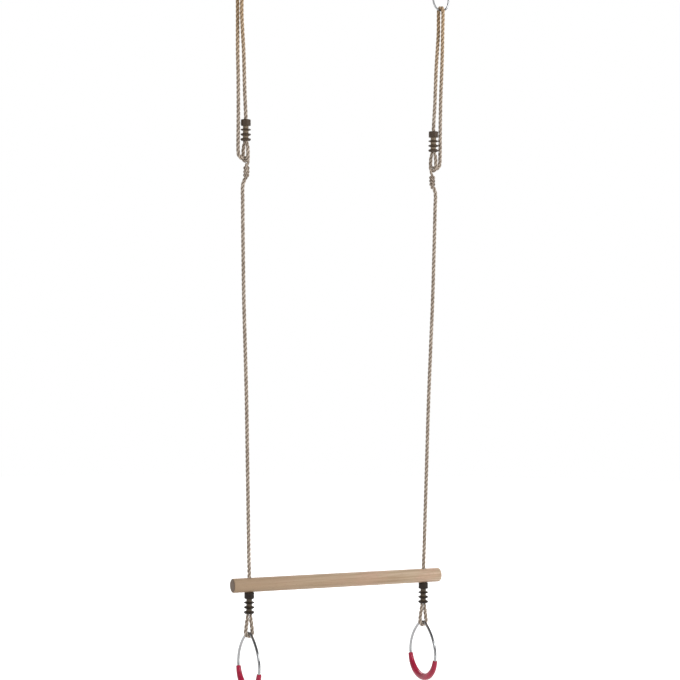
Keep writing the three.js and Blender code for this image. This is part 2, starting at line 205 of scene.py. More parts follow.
def makeWear(look):    # scuffs: thin broken lines in patches, 0 elsewhere
    tree, given, out = openTree("wear", "ShaderNodeTree",
                                [("Vector", "Vector"), ("Scale", "Float"), ("Amount", "Float")],
                                [("Mask", "Float")])
    lines = noise(tree, given["Vector"], given["Scale"], look["detail"], Distortion=look["distortion"])
    patches = noise(tree, given["Vector"], times(tree, given["Scale"], look["patchTimes"]))
    fromLine = calc(tree, "ABSOLUTE", minus(tree, lines, 0.5))
    thin = flip(tree, easeBetween(tree, fromLine, 0.0, look["lineWidth"]))
    broken = times(tree, thin, easeBetween(tree, patches, *look["patchEdges"]))
    tree.links.new(times(tree, broken, given["Amount"]), out["Mask"])
    return tree


mottle, wear = makeMottle(mottleLook), makeWear(wearLook)


def blotches(tree, place, scale, fineShare):
    return addNode(tree, "ShaderNodeGroup", {"Vector": place, "Scale": scale, "Fine Share": fineShare},
                   node_tree=mottle).outputs[0]


def scuffs(tree, place, scale, amount):
    return addNode(tree, "ShaderNodeGroup", {"Vector": place, "Scale": scale, "Amount": amount},
                   node_tree=wear).outputs[0]


def tone(red, green, blue):    # a screen colour as Blender's linear colour
    return tuple(((c / 255 + 0.055) / 1.055) ** 2.4 for c in (red, green, blue)) + (1.0,)


def mixTone(tree, factor, first, second):
    return addNode(tree, "ShaderNodeMix", {0: factor, 6: first, 7: second}, data_type="RGBA").outputs[2]


def layer(tree, under, mask, share, over):    # one colour over another, where the mask is above 0
    return mixTone(tree, times(tree, mask, share), under, over)


def newMaterial(name):
    material = bpy.data.materials.new(name)
    material.use_nodes = True
    tree = material.node_tree
    place = tree.nodes.new("ShaderNodeTexCoord").outputs["Object"]
    return material, tree, tree.nodes["Principled BSDF"], place


def readAttribute(tree, label):
    return addNode(tree, "ShaderNodeAttribute", attribute_name=label).outputs


def vary(tree, base, value, amount):    # a base figure, raised with the value
    return plus(tree, base, times(tree, value, amount))


def connect(tree, shader, look, colour, roughness, height):
    bump = addNode(tree, "ShaderNodeBump",
                   {"Strength": 1.0, "Distance": look["bumpDepth"], "Height": height})
    for source, label in ((colour, "Base Color"), (roughness, "Roughness"), (bump.outputs[0], "Normal")):
        tree.links.new(source, shader.inputs[label])
    for label, value in look["shader"].items():
        shader.inputs[label].default_value = value


# Beech: growth rings round a pith beside the bar, short dark flecks, painted shade darkening the bar towards
# its left end, and rings and a darker tone at the ends, partly end grain and partly painted shade
beechLook = {
    "light": tone(220, 198, 172), "dark": tone(168, 142, 114), "blush": tone(204, 163, 142),
    "fleck": tone(120, 92, 70), "end": tone(112, 97, 83),
    "pith": (0.012, -0.034), "pithDrift": 0.035, "swayScale": 5.0, "swayWidth": 0.010,
    "ringSpacing": 0.0042, "lateWood": (0.25, 0.93), "lateShare": 0.38, "lateShareAtEnd": 0.6,
    "streakStretch": (3.0, 95.0, 95.0), "streakDetail": 6.0, "streakRoughness": 0.62,
    "streakEdges": (0.34, 0.68),
    "fleckStretch": (190.0, 1500.0, 1500.0), "fleckDetail": 1.0, "fleckEdges": (0.66, 0.74),
    "fleckShare": 0.55, "fleckDepth": 0.7,
    "patchScale": 9.0, "patchFine": 0.2, "blushEdges": (0.42, 0.62), "blushShare": 0.6,
    "leftShadeFrom": 0.3, "leftShadeTo": -0.3, "leftShadeShare": 0.9, "endEdges": (0.45, 0.9),
    "roughness": 0.47, "roughSpread": 0.22, "bumpDepth": 0.00018, "shader": {"Specular IOR Level": 0.35},
}


def makeBeech(look, axisHeight):
    material, tree, shader, place = newMaterial("oiledBeech")
    x, y, z = split(tree, place)
    across = plus(tree, minus(tree, y, look["pith"][0]),
                  times(tree, noise(tree, place, look["swayScale"]), look["swayWidth"]))
    upward = minus(tree, minus(tree, z, axisHeight + look["pith"][1]), times(tree, x, look["pithDrift"]))
    ring = calc(tree, "FRACT", calc(tree, "DIVIDE", outFrom(tree, across, upward), look["ringSpacing"]))
    late = times(tree, easeBetween(tree, ring, *look["lateWood"]),
                 flip(tree, easeBetween(tree, ring, look["lateWood"][1], 1.0)))
    long = addNode(tree, "ShaderNodeMapping", {"Vector": place, "Scale": look["streakStretch"]}).outputs[0]
    streak = noise(tree, long, 1.0, look["streakDetail"], Roughness=look["streakRoughness"])
    dash = addNode(tree, "ShaderNodeMapping", {"Vector": place, "Scale": look["fleckStretch"]}).outputs[0]
    fleck = easeBetween(tree, noise(tree, dash, 1.0, look["fleckDetail"]), *look["fleckEdges"])
    patch = blotches(tree, place, look["patchScale"], look["patchFine"])
    body = mixTone(tree, easeBetween(tree, streak, *look["streakEdges"]), look["light"], look["dark"])
    blush = easeBetween(tree, patch, *look["blushEdges"])
    body = layer(tree, body, blush, look["blushShare"], look["blush"])
    body = layer(tree, body, late, look["lateShare"], look["dark"])
    # painted shade: the bar darkens towards its left end, as if lit from the right
    leftShade = easeBetween(tree, x, look["leftShadeFrom"], look["leftShadeTo"])
    body = layer(tree, body, leftShade, look["leftShadeShare"], look["dark"])
    body = layer(tree, body, fleck, look["fleckShare"], look["fleck"])
    # darker end faces: end grain, and painted shade on the end faces
    facing = split(tree, tree.nodes.new("ShaderNodeNewGeometry").outputs["True Normal"])[0]
    atEnd = easeBetween(tree, calc(tree, "ABSOLUTE", facing), *look["endEdges"])
    end = layer(tree, look["end"], late, look["lateShareAtEnd"], look["fleck"])
    colour = mixTone(tree, atEnd, body, end)
    height = minus(tree, streak, times(tree, fleck, look["fleckDepth"]))
    connect(tree, shader, look, colour, vary(tree, look["roughness"], streak, look["roughSpread"]), height)
    return material


# Laid rope: yarns run across each strand, with painted shade between the yarns and in the grooves between
# the strands
ropeLook = {
    "lit": tone(230, 214, 196), "shade": tone(169, 151, 134), "creaseShade": tone(86, 69, 56),
    "rubbed": tone(218, 181, 134), "rubbedHeights": (-0.36, -0.07), "rubbedShare": 0.75,    # browner above
    "yarns": 7.0, "yarnLay": 0.021, "yarnShadeShare": 0.3,
    "blotchScale": 55.0, "blotchFine": 0.5, "blotchEdges": (0.32, 0.7),
    "hairScale": 1400.0, "hairEdges": (0.35, 0.75), "hairShare": 0.35, "hairHeight": 0.5,
    "gapShadeEdges": (0.62, 0.93), "gapShadeShare": 0.85,
    "roughness": 0.78, "roughSpread": 0.18, "bumpDepth": 0.00028,
    "shader": {"Specular IOR Level": 0.2, "Sheen Weight": 0.25},
}


def makeRopeFibre(look):
    material, tree, shader, place = newMaterial("naturalRope")
    along, depth = (readAttribute(tree, label)["Fac"] for label in ("alongStrand", "strandDepth"))
    turn = split(tree, readAttribute(tree, "aroundStrand")["Vector"])
    angle = calc(tree, "ARCTAN2", turn[1], turn[0])
    phase = plus(tree, times(tree, angle, look["yarns"]),
                 times(tree, along, -2 * math.pi * look["yarns"] / look["yarnLay"]))
    yarn = vary(tree, 0.5, calc(tree, "SINE", phase), 0.5)
    blotch = blotches(tree, place, look["blotchScale"], look["blotchFine"])
    hairs = noise(tree, place, look["hairScale"])
    body = mixTone(tree, easeBetween(tree, blotch, *look["blotchEdges"]), look["lit"], look["shade"])
    body = layer(tree, body, easeBetween(tree, hairs, *look["hairEdges"]), look["hairShare"], look["shade"])
    rubbed = easeBetween(tree, split(tree, place)[2], *look["rubbedHeights"])
    body = layer(tree, body, rubbed, look["rubbedShare"], look["rubbed"])
    # painted shade in the valleys between the yarns
    body = layer(tree, body, flip(tree, yarn), look["yarnShadeShare"], look["creaseShade"])
    # painted shade in the grooves between the strands, where the strand surface dips towards the rope's
    # centre
    gapShade = flip(tree, easeBetween(tree, depth, *look["gapShadeEdges"]))
    colour = layer(tree, body, gapShade, look["gapShadeShare"], look["creaseShade"])
    roughness = vary(tree, look["roughness"], hairs, look["roughSpread"])
    connect(tree, shader, look, colour, roughness, vary(tree, yarn, hairs, look["hairHeight"]))
    return material


# Dark moulding: painted light makes the upper pair paler, the pale grooves between the ribs are painted
# reflection with dust, and faces turned up are paler with dust and painted light from above
ferruleLook = {
    "body": tone(26, 16, 8), "worn": tone(56, 42, 26), "wornEdges": (0.4, 0.7), "wornShare": 0.3,
    "upperLight": tone(94, 78, 63), "upperLightHeights": (-1.2, -0.6), "upperLightShare": 0.55,
    "grooveDustAndGlint": tone(150, 133, 112), "grooveEdges": (0.56, 0.8), "grooveDustAndGlintShare": 0.75, "grooveDustAndGlintBelow": 0.4,
    "dustAndTopLight": tone(112, 98, 80), "topLightFacing": (0.35, 0.95), "dustEdges": (0.3, 0.6), "dustAndTopLightShare": 0.35,
    "blotchScale": 70.0, "blotchFine": 0.4, "scuffScale": 160.0, "scuffAmount": 0.5, "gritScale": 1800.0,
    "roughness": 0.3, "roughSpread": 0.2, "bumpDepth": 0.00005, "shader": {"Specular IOR Level": 0.25},
}


def makeFerrulePlastic(look):
    material, tree, shader, place = newMaterial("darkMoulding")
    blotch = blotches(tree, place, look["blotchScale"], look["blotchFine"])
    scuff = scuffs(tree, place, look["scuffScale"], look["scuffAmount"])
    upward = split(tree, tree.nodes.new("ShaderNodeNewGeometry").outputs["Normal"])[2]
    # paler where the surface faces up: dust, and painted light from above
    dustAndTopLightMask = times(tree, easeBetween(tree, upward, *look["topLightFacing"]),
                    easeBetween(tree, blotch, *look["dustEdges"]))
    worn = easeBetween(tree, blotch, *look["wornEdges"])
    body = layer(tree, look["body"], worn, look["wornShare"], look["worn"])
    body = mixTone(tree, scuff, body, look["worn"])
    # painted light: the upper pair, higher up, is paler, as if lit more
    upperLit = easeBetween(tree, split(tree, place)[2], *look["upperLightHeights"])
    body = layer(tree, body, upperLit, look["upperLightShare"], look["upperLight"])
    # pale grooves between the ribs: painted reflection of the surroundings, and dust; stronger on the upper
    # pair with its painted light
    inGroove = flip(tree, easeBetween(tree, readAttribute(tree, "moundShare")["Fac"], *look["grooveEdges"]))
    grooveDustAndGlintMask = times(tree, inGroove,
                   calc(tree, "MULTIPLY_ADD", upperLit, 1 - look["grooveDustAndGlintBelow"], look["grooveDustAndGlintBelow"]))
    body = layer(tree, body, grooveDustAndGlintMask, look["grooveDustAndGlintShare"], look["grooveDustAndGlint"])
    # dust and painted light from above on the faces turned up
    colour = layer(tree, body, dustAndTopLightMask, look["dustAndTopLightShare"], look["dustAndTopLight"])
    roughness = vary(tree, look["roughness"], blotch, look["roughSpread"])
    connect(tree, shader, look, colour, roughness, noise(tree, place, look["gritScale"]))
    return material


steelLook = {
    "body": tone(160, 161, 162), "dull": tone(122, 122, 122), "dullEdges": (0.45, 0.8),
    "blotchScale": 90.0, "blotchFine": 0.45, "scuffScale": 260.0, "scuffAmount": 0.7,
    "roughness": 0.1, "roughSpread": 0.14, "scuffRoughness": 0.3, "bumpDepth": 0.00002,
    "shader": {"Metallic": 1.0},
}
gripLook = {
    "body": tone(182, 36, 70), "dull": tone(148, 24, 52), "dullEdges": (0.35, 0.7),
    "worn": tone(206, 100, 118),
    "blotchScale": 45.0, "blotchFine": 0.3, "scuffScale": 140.0, "scuffAmount": 0.4,
    "roughness": 0.14, "roughSpread": 0.12, "scuffRoughness": 0.4, "bumpDepth": 0.00006,
    "shader": {"Coat Weight": 0.06, "Coat Roughness": 0.1, "Specular IOR Level": 0.25},
}


def makeGlossy(name, look):    # for the steel and the grips: duller blotches, and rougher scuffs
    material, tree, shader, place = newMaterial(name)
    blotch = blotches(tree, place, look["blotchScale"], look["blotchFine"])
    scuff = scuffs(tree, place, look["scuffScale"], look["scuffAmount"])
    colour = mixTone(tree, easeBetween(tree, blotch, *look["dullEdges"]), look["body"], look["dull"])
    if "worn" in look:
        colour = mixTone(tree, scuff, colour, look["worn"])
    roughness = vary(tree, vary(tree, look["roughness"], blotch, look["roughSpread"]),
                     scuff, look["scuffRoughness"])
    connect(tree, shader, look, colour, roughness, minus(tree, blotch, scuff))
    return material


ropeFibre = makeRopeFibre(ropeLook)
ferrulePlastic = makeFerrulePlastic(ferruleLook)
steel = makeGlossy("platedSteel", steelLook)
gripPlastic = makeGlossy("crimsonMoulding", gripLook)
print("shared materials made")


# A round section swept along a path, its radius read at each point of the path
def makeSweepTree():
    tree, given, out = openShapeTree("roundSweep", {"Sides": 32})
    line = addNode(tree, "GeometryNodeMeshToCurve", {"Mesh": given["Geometry"]})
    section = addNode(tree, "GeometryNodeCurvePrimitiveCircle",
                      {"Resolution": given["Sides"], "Radius": 1.0})
    radius = addNode(tree, "GeometryNodeInputNamedAttribute", {"Name": "sweepRadius"}, data_type="FLOAT")
    swept = addNode(tree, "GeometryNodeCurveToMesh",
                    {"Curve": line.outputs[0], "Profile Curve": section.outputs[0],
                     "Scale": radius.outputs[0], "Fill Caps": True})
    closeShapeTree(tree, out, swept.outputs[0], given["Material"])
    return tree


sweepTree = makeSweepTree()


def sweep(name, points, radii, sides, material, closed=False):
    count = len(points)
    edges = [(i, (i + 1) % count) for i in range(count if closed else count - 1)]
    values = {"Sides": sides, "Material": material}
    return runTree(name, sweepTree, values, points, edges, {"sweepRadius": radii})


# The ropes: the points that the right one's route goes through, from the upper ferrule to the lower one
ropeSizes = {
    "diameter": 0.010, "squeezed": 0.0072, "inKnot": 0.0068, "spacing": 0.0015,
    "thinLead": 6,    # points before the knot from which the rope gets thinner
    "upperFerruleX": 0.266, "upperEnd": -0.4067, "leaveZ": -0.385, "lowerEnd": -1.5940, "holeX": 0.2465,
    "ringX": 0.285, "ringTurn": 15.5, "bightZ": -0.0525, "bightRise": 0.0078, "legHalf": 0.0081,
    "length": 2.09,
}
risingRoute = [
    (0.266, 0, -0.390), (0.2661, 0, -0.368), (0.2674, 0, -0.340), (0.2694, 0, -0.305),
    (0.2713, 0.0008, -0.262), (0.274, 0.0023, -0.205), (0.2788, 0.0052, -0.152),
    (0.282, 0.007, -0.112), (0.2824, 0.0074, -0.086), (0.2825, 0.0077, -0.066),
]
fallingRoute = [
    (0.2875, -0.0077, -0.066), (0.2876, -0.0074, -0.086), (0.2874, -0.007, -0.112),
    (0.2879, -0.0052, -0.152), (0.2884, -0.0023, -0.205), (0.2872, -0.0008, -0.262),
    (0.2864, 0, -0.330), (0.2862, 0, -0.380), (0.2864, 0.0002, -0.420), (0.2863, 0.0005, -0.448),
    (0.2854, 0.0009, -0.4595), (0.2818, 0.0013, -0.4668), (0.2756, 0.0014, -0.4696),
    (0.2706, 0.0011, -0.4679), (0.2664, 0.0006, -0.4666),
    (0.2604, -0.001, -0.4678), (0.2574, -0.0026, -0.4714), (0.2566, -0.0034, -0.4762),
    (0.258, -0.004, -0.4818),
]
mainRoute = [
    (0.2662, -0.0056, -0.5234), (0.2704, -0.0046, -0.5346), (0.2724, -0.0022, -0.548),
    (0.2726, -0.0004, -0.570), (0.2722, 0, -0.610), (0.2704, 0, -0.700), (0.2675, 0, -0.820),
    (0.2626, 0, -0.950), (0.258, 0, -1.077), (0.2544, 0, -1.220), (0.2516, 0, -1.334),
    (0.250, 0, -1.400), (0.2485, 0, -1.463), (0.2472, 0, -1.505), (0.2465, 0, -1.540),
]
knotSizes = {
    "x": 0.2635, "top": 0.4896, "height": 0.0262, "radius": 0.0049, "bend": 0.004, "lead": 0.0007,
    "turns": 1.5, "back": 66.0, "strandSteps": 13, "bendSteps": 4, "riseSteps": 4,
}


def bightPoints(sizes, steps=8):    # over the hanging ring's wire
    across = math.radians(sizes["ringTurn"]) - math.pi / 2
    points = []
    for step in range(steps + 1):
        angle = math.pi * step / steps
        outward = -sizes["legHalf"] * math.cos(angle)
        points.append((sizes["ringX"] + outward * math.cos(across), outward * math.sin(across),
                       sizes["bightZ"] + sizes["bightRise"] * math.sin(angle)))
    return points


def knotPoints(sizes):    # two strands wound round each other, joined by a bend behind them
    back = math.radians(sizes["back"])
    points = []

    def wind(start):
        for step in range(sizes["strandSteps"] + 1):
            share = step / sizes["strandSteps"]
            angle = start + 2 * math.pi * sizes["turns"] * share
            points.append((sizes["x"] + sizes["radius"] * math.cos(angle), sizes["radius"] * math.sin(angle),
                           -sizes["top"] - share * sizes["height"]))

    def behind(outward, drop):
        points.append((sizes["x"] + outward * math.cos(back), outward * math.sin(back),
                       -sizes["top"] - drop))

    def bend(lowest, sign):
        for step in range(1, sizes["bendSteps"]):
            angle = math.pi * step / sizes["bendSteps"]
            behind(sizes["radius"] + sizes["bend"] * (1 - sign * math.cos(angle)),
                   lowest + sign * sizes["bend"] * math.sin(angle))

    wind(back + math.pi)
    bend(sizes["height"] + sizes["lead"], 1)
    for step in range(sizes["riseSteps"] + 1):
        behind(sizes["radius"] + 2 * sizes["bend"], sizes["height"] * (1 - step / sizes["riseSteps"]))
    bend(-sizes["lead"], -1)
    wind(back)
    return points


def smoothRoute(points, sizesAlong, spacing):    # an even walk along the smooth curve through the points
    given = np.array(points, float)
    first, last = 2 * given[0] - given[1], 2 * given[-1] - given[-2]
    p = np.vstack((first, given, last))
    places, numbers = [], []
    for i in range(len(given) - 1):
        a, b, c, d = p[i:i + 4]
        t0, t1, t2 = (np.linalg.norm(v - u) ** 0.5 for u, v in ((a, b), (b, c), (c, d)))
        out1 = ((b - a) / t0 - (c - a) / (t0 + t1) + (c - b) / t1) * t1
        out2 = ((c - b) / t1 - (d - b) / (t1 + t2) + (d - c) / t2) * t1
        steps = max(8, int(np.linalg.norm(c - b) / spacing * 3))    # finer than the spacing
        for t in np.arange(steps) / steps:
            places.append(b * (2 * t**3 - 3 * t**2 + 1) + out1 * (t**3 - 2 * t**2 + t)
                          + c * (3 * t**2 - 2 * t**3) + out2 * (t**3 - t**2))
            numbers.append(i + t)
    places.append(given[-1])
    numbers.append(len(given) - 1)
    places = np.array(places)
    walked = np.concatenate(([0], np.cumsum(np.linalg.norm(np.diff(places, axis=0), axis=1))))
    even = np.linspace(0, walked[-1], int(walked[-1] / spacing) + 1)
    centres = np.column_stack([np.interp(even, walked, places[:, k]) for k in range(3)])
    width = np.interp(np.interp(even, walked, numbers), np.arange(len(given)), sizesAlong)
    return centres, width, walked[-1]


laidRope = {
    "Lay Length": 0.036, "Strand Count": 3, "Strand Radius Share": 0.232, "Strand Offset Share": 0.268,
    "Sides": 12, "Hair Density": 9000.0, "Hair Length": 0.0035, "Hair Seed": 7,
}
hairSizes = {    # radius, lean and shortest are shares of a hair's length, and angles are radians
    "outerShare": 0.9, "points": 4, "sides": 3, "radius": 0.018, "lean": 0.5, "shortest": 0.35,
    "turnFrom": (0.7, -0.2, 0.0), "turnTo": (1.25, 0.2, 6.28), "sharpAngle": 1.2,
}


def makeLaidRopeTree(hair):
    tree, given, out = openShapeTree("laidRope", laidRope)

    def store(geometry, label, value, kind="FLOAT"):
        node = addNode(tree, "GeometryNodeStoreNamedAttribute",
                       {"Geometry": geometry, "Name": label, "Value": value}, data_type=kind, domain="POINT")
        return node.outputs[0]

    def recall(label, kind="FLOAT"):
        return addNode(tree, "GeometryNodeInputNamedAttribute", {"Name": label}, data_type=kind).outputs[0]

    width = recall("ropeWidth")
    position = tree.nodes.new("GeometryNodeInputPosition").outputs[0]
    line = addNode(tree, "GeometryNodeMeshToCurve", {"Mesh": given["Geometry"]}).outputs[0]
    line = store(line, "ropeCentre", position, "FLOAT_VECTOR")
    copies = addNode(tree, "GeometryNodeDuplicateElements",
                     {"Geometry": line, "Amount": given["Strand Count"]}, domain="SPLINE")
    walked = tree.nodes.new("GeometryNodeSplineParameter").outputs["Length"]
    turns = plus(tree, calc(tree, "DIVIDE", walked, given["Lay Length"]),
                 calc(tree, "DIVIDE", copies.outputs[1], given["Strand Count"]))
    outward = addNode(tree, "ShaderNodeVectorRotate",
                      {"Vector": tree.nodes.new("GeometryNodeInputNormal").outputs[0],
                       "Axis": tree.nodes.new("GeometryNodeInputTangent").outputs[0],
                       "Angle": times(tree, turns, 2 * math.pi)}, rotation_type="AXIS_ANGLE")
    reach = times(tree, width, given["Strand Offset Share"])
    shift = addNode(tree, "ShaderNodeVectorMath", {0: outward.outputs[0], "Scale": reach}, operation="SCALE")
    strands = addNode(tree, "GeometryNodeSetPosition",
                      {"Geometry": copies.outputs[0], "Offset": shift.outputs[0]}).outputs[0]
    strands = store(strands, "alongStrand", tree.nodes.new("GeometryNodeSplineParameter").outputs["Length"])
    section = addNode(tree, "GeometryNodeCurvePrimitiveCircle",
                      {"Resolution": given["Sides"], "Radius": 1.0}).outputs[0]
    section = store(section, "aroundStrand", position, "FLOAT_VECTOR")
    swept = addNode(tree, "GeometryNodeCurveToMesh",
                    {"Curve": strands, "Profile Curve": section, "Fill Caps": True,
                     "Scale": times(tree, width, given["Strand Radius Share"])}).outputs[0]
    away = addNode(tree, "ShaderNodeVectorMath", {0: position, 1: recall("ropeCentre", "FLOAT_VECTOR")},
                   operation="DISTANCE").outputs["Value"]
    swept = store(swept, "strandDepth", calc(tree, "DIVIDE", away, times(tree, width, 0.5)))
    # loose hairs, bent a little, on the strands' outer sides
    spots = addNode(tree, "GeometryNodeDistributePointsOnFaces",
                    {"Mesh": swept, "Density": given["Hair Density"], "Seed": given["Hair Seed"],
                     "Selection": calc(tree, "GREATER_THAN", recall("strandDepth"), hair["outerShare"])})
    hairLine = addNode(tree, "GeometryNodeCurvePrimitiveLine", {"End": (0, 0, 1)}).outputs[0]
    hairLine = addNode(tree, "GeometryNodeResampleCurve",
                       {"Curve": hairLine, "Count": hair["points"]}).outputs[0]
    share = tree.nodes.new("GeometryNodeSplineParameter").outputs["Factor"]
    lean = times(tree, times(tree, share, share), hair["lean"])
    lean = addNode(tree, "ShaderNodeCombineXYZ", {"X": lean}).outputs[0]
    hairLine = addNode(tree, "GeometryNodeSetPosition", {"Geometry": hairLine, "Offset": lean}).outputs[0]
    hairSection = addNode(tree, "GeometryNodeCurvePrimitiveCircle",
                          {"Resolution": hair["sides"], "Radius": hair["radius"]}).outputs[0]
    oneHair = addNode(tree, "GeometryNodeCurveToMesh",
                      {"Curve": hairLine, "Fill Caps": True, "Profile Curve": hairSection}).outputs[0]
    spin = addNode(tree, "FunctionNodeRandomValue",
                   {"Min": hair["turnFrom"], "Max": hair["turnTo"], "Seed": given["Hair Seed"]},
                   data_type="FLOAT_VECTOR").outputs[0]
    turned = addNode(tree, "FunctionNodeRotateRotation",
                     {"Rotation": spots.outputs["Rotation"], "Rotate By": spin},
                     rotation_space="LOCAL").outputs[0]
    size = addNode(tree, "FunctionNodeRandomValue", {"Min": hair["shortest"], "Max": 1.0}, data_type="FLOAT")
    size = times(tree, given["Hair Length"], size.outputs[1])
    hairs = addNode(tree, "GeometryNodeInstanceOnPoints",
                    {"Points": spots.outputs["Points"], "Instance": oneHair,
                     "Rotation": turned, "Scale": size})
    both = tree.nodes.new("GeometryNodeJoinGeometry")
    tree.links.new(hairs.outputs[0], both.inputs[0])
    tree.links.new(swept, both.inputs[0])
    closeShapeTree(tree, out, both.outputs[0], given["Material"], hair["sharpAngle"])
    return tree


laidRopeTree = makeLaidRopeTree(hairSizes)


def layRope(name, points, widths):
    centres, width, length = smoothRoute(points, widths, ropeSizes["spacing"])
    edges = [(i, i + 1) for i in range(len(centres) - 1)]
    values = {**laidRope, "Material": ropeFibre}
    piece = runTree(name, laidRopeTree, values, centres, edges, {"ropeWidth": width})
    print(name, "length", round(length, 4), "faces", len(piece.data.polygons))
    path = centres[:-1:3].tolist() + [centres[-1].tolist()]    # every third centre, and the last one
    return piece, path, length


def bothSides(points, side):    # the left side is the right one turned half round
    sign = 1 if side == "right" else -1
    return [(sign * x, sign * y, z) for x, y, z in points]


def makeRope(side, sizes):
    loop = [(sizes["upperFerruleX"], 0, sizes["upperEnd"])] + risingRoute + bightPoints(sizes) + fallingRoute
    knot = knotPoints(knotSizes)
    points = loop + knot + mainRoute + [(sizes["holeX"], 0, sizes["lowerEnd"])]
    thinFrom, thinTo = len(loop) - sizes["thinLead"], len(loop) + len(knot)
    widths = [sizes["inKnot"] if thinFrom <= i < thinTo else sizes["diameter"] for i in range(len(points))]
    piece, path = layRope(side + "Rope", bothSides(points, side), widths)[:2]
    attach(piece, "trapeze")
    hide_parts(side + "_hanging_loop", side + "_knot", side + "_main_rope")


eyeSizes = {    # the outline of a leg as shares of the way down and of the spread
    "upper": {"x": 0.266, "mouth": -0.4257, "length": 0.039, "halfWidth": 0.0109, "turn": -78.8,
              "body": "trapeze", "legSpacing": 0.0104, "legStart": 0.003, "bendSteps": 8, "growBy": 0.4,
              "outline": ((0.1, 0.1), (0.27, 0.5), (0.48, 0.84), (0.74, 0.99))},
    "lower": {"x": 0.2465, "mouth": -1.612, "length": 0.0483, "halfWidth": 0.0088, "turn": 0.0,
              "body": "eye", "legSpacing": 0.0084, "legStart": 0.003, "bendSteps": 8, "growBy": 0.4,
              "blendAbove": 0.001, "blendBelow": 0.012,
              "outline": ((0.16, 0.07), (0.34, 0.22), (0.6, 0.58), (0.84, 0.92))},
}


def makeEye(side, level, sizes, rope):
    half, turn = sizes["legSpacing"] / 2, math.radians(sizes["turn"])
    wide, long, steps = sizes["halfWidth"], sizes["length"], sizes["bendSteps"]
    leg = [(half, sizes["legStart"]), (half, 0.0)]
    leg += [(half + spread * (wide - half), -down * long) for down, spread in sizes["outline"]]
    bend = [(wide * math.cos(math.pi * i / steps), -long - wide * math.sin(math.pi * i / steps))
            for i in range(steps + 1)]
    flat = leg + bend + [(-u, w) for u, w in reversed(leg)]
    points = [(sizes["x"] + u * math.cos(turn), u * math.sin(turn), sizes["mouth"] + w) for u, w in flat]
    grown = [min(1.0, max(0.0, -w / (sizes["growBy"] * long))) for u, w in flat]
    widths = [rope["squeezed"] + (rope["diameter"] - rope["squeezed"]) * g * g * (3 - 2 * g) for g in grown]
    piece, path, length = layRope(side + level.capitalize() + "Eye", bothSides(points, side), widths)
    if sizes["body"] == "eye":
        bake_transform(piece)
    else:
        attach(piece, sizes["body"])
    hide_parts(f"{side}_{level}_eye")


for side in ("right", "left"):
    makeRope(side, ropeSizes)
    for level in ("upper", "lower"):
        makeEye(side, level, eyeSizes[level], ropeSizes)
print("ropes laid")


# The bar, with its two chamfered holes
barSizes = {
    "axisHeight": -1.540, "length": 0.586, "diameter": 0.036, "edge": 0.004,
    "holeAt": 0.2465, "holeDiameter": 0.011, "chamfer": 0.0013,
    "chamferFrom": 0.93, "chamferTo": 1.1,    # shares of the bar's radius
    "sides": 128, "edgeSteps": 8, "lengthSteps": 59, "holeSides": 64,
}
beech = makeBeech(beechLook, barSizes["axisHeight"])


def makeBar(sizes):
    half, radius, edge = sizes["length"] / 2, sizes["diameter"] / 2, sizes["edge"]
    rings = [(-half + edge * (1 - math.cos(a)), radius - edge * (1 - math.sin(a)))
             for a in np.linspace(0, math.pi / 2, sizes["edgeSteps"])]
    middle = [(x, radius) for x in np.linspace(-half + edge, half - edge, sizes["lengthSteps"])[1:-1]]
    rings = rings + middle + [(-x, r) for x, r in reversed(rings)]
    bar = sweep("woodenBar", [(x, 0, sizes["axisHeight"]) for x, r in rings], [r for x, r in rings],
                sizes["sides"], beech)
    hole, start, end = sizes["holeDiameter"] / 2, sizes["chamferFrom"], sizes["chamferTo"]
    heights = [sizes["axisHeight"] + radius * share for share in (-end, -start, start, end)]
    widened = hole + sizes["chamfer"]
    for sign in (1, -1):
        drill = sweep("drill", [(sign * sizes["holeAt"], 0, height) for height in heights],
                      [widened, hole, hole, widened], sizes["holeSides"], beech)
        cut = bar.modifiers.new("hole", "BOOLEAN")
        cut.object, cut.operation, cut.solver = drill, "DIFFERENCE", "EXACT"
        shown = bar.evaluated_get(bpy.context.evaluated_depsgraph_get())
        drilled = bpy.data.meshes.new_from_object(shown)
        bar.modifiers.clear()
        bar.data = drilled
        bpy.data.objects.remove(drill)
    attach(bar, "trapeze")
    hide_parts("bar")


makeBar(barSizes)
print("bar turned and drilled")


# The ribbed ferrule: collar, repeated ribs, a socket for the rope and a slot for the eye's two legs
ferruleSizes = {
    "Length": 0.0537, "Collar Diameter": 0.025, "Collar Height": 0.0162, "Edge Radius": 0.0022,
    "Rib Diameter": 0.0262, "Root Diameter": 0.0144, "Rib Pitch": 0.0121, "Rib Count": 3,
    "Rim Thickness": 0.0028, "Root Thickness": 0.008, "Slim Rim": 0.0022, "Slim Root": 0.0064,
    "Flat Share": 0.25, "Flank Power": 1.6, "Last Rib Height": 0.0038, "Mouth Diameter": 0.0214,
    "Parting Ridge": 0.00016, "Ridge Width": 0.075, "Sharp Angle": 0.7,
    "Socket Diameter": 0.0106, "Socket Depth": 0.040, "Socket Sides": 48, "Overrun": 0.002,
    "Leg Spacing": 0.0084, "Slot Radius": 0.0039, "Flare Width": 0.0014, "Flare Depth": 0.0024,
    "Slot Sides": 50, "Slot Rings": 30, "Sides": 96, "Rings": 190,
}
ferrulePlaces = {    # x, top, turn, spacing of the eye's legs
    "upper": (0.266, -0.372, -78.8, 0.0104),
    "lower": (0.2465, -1.5583, 0.0, 0.0084),
}


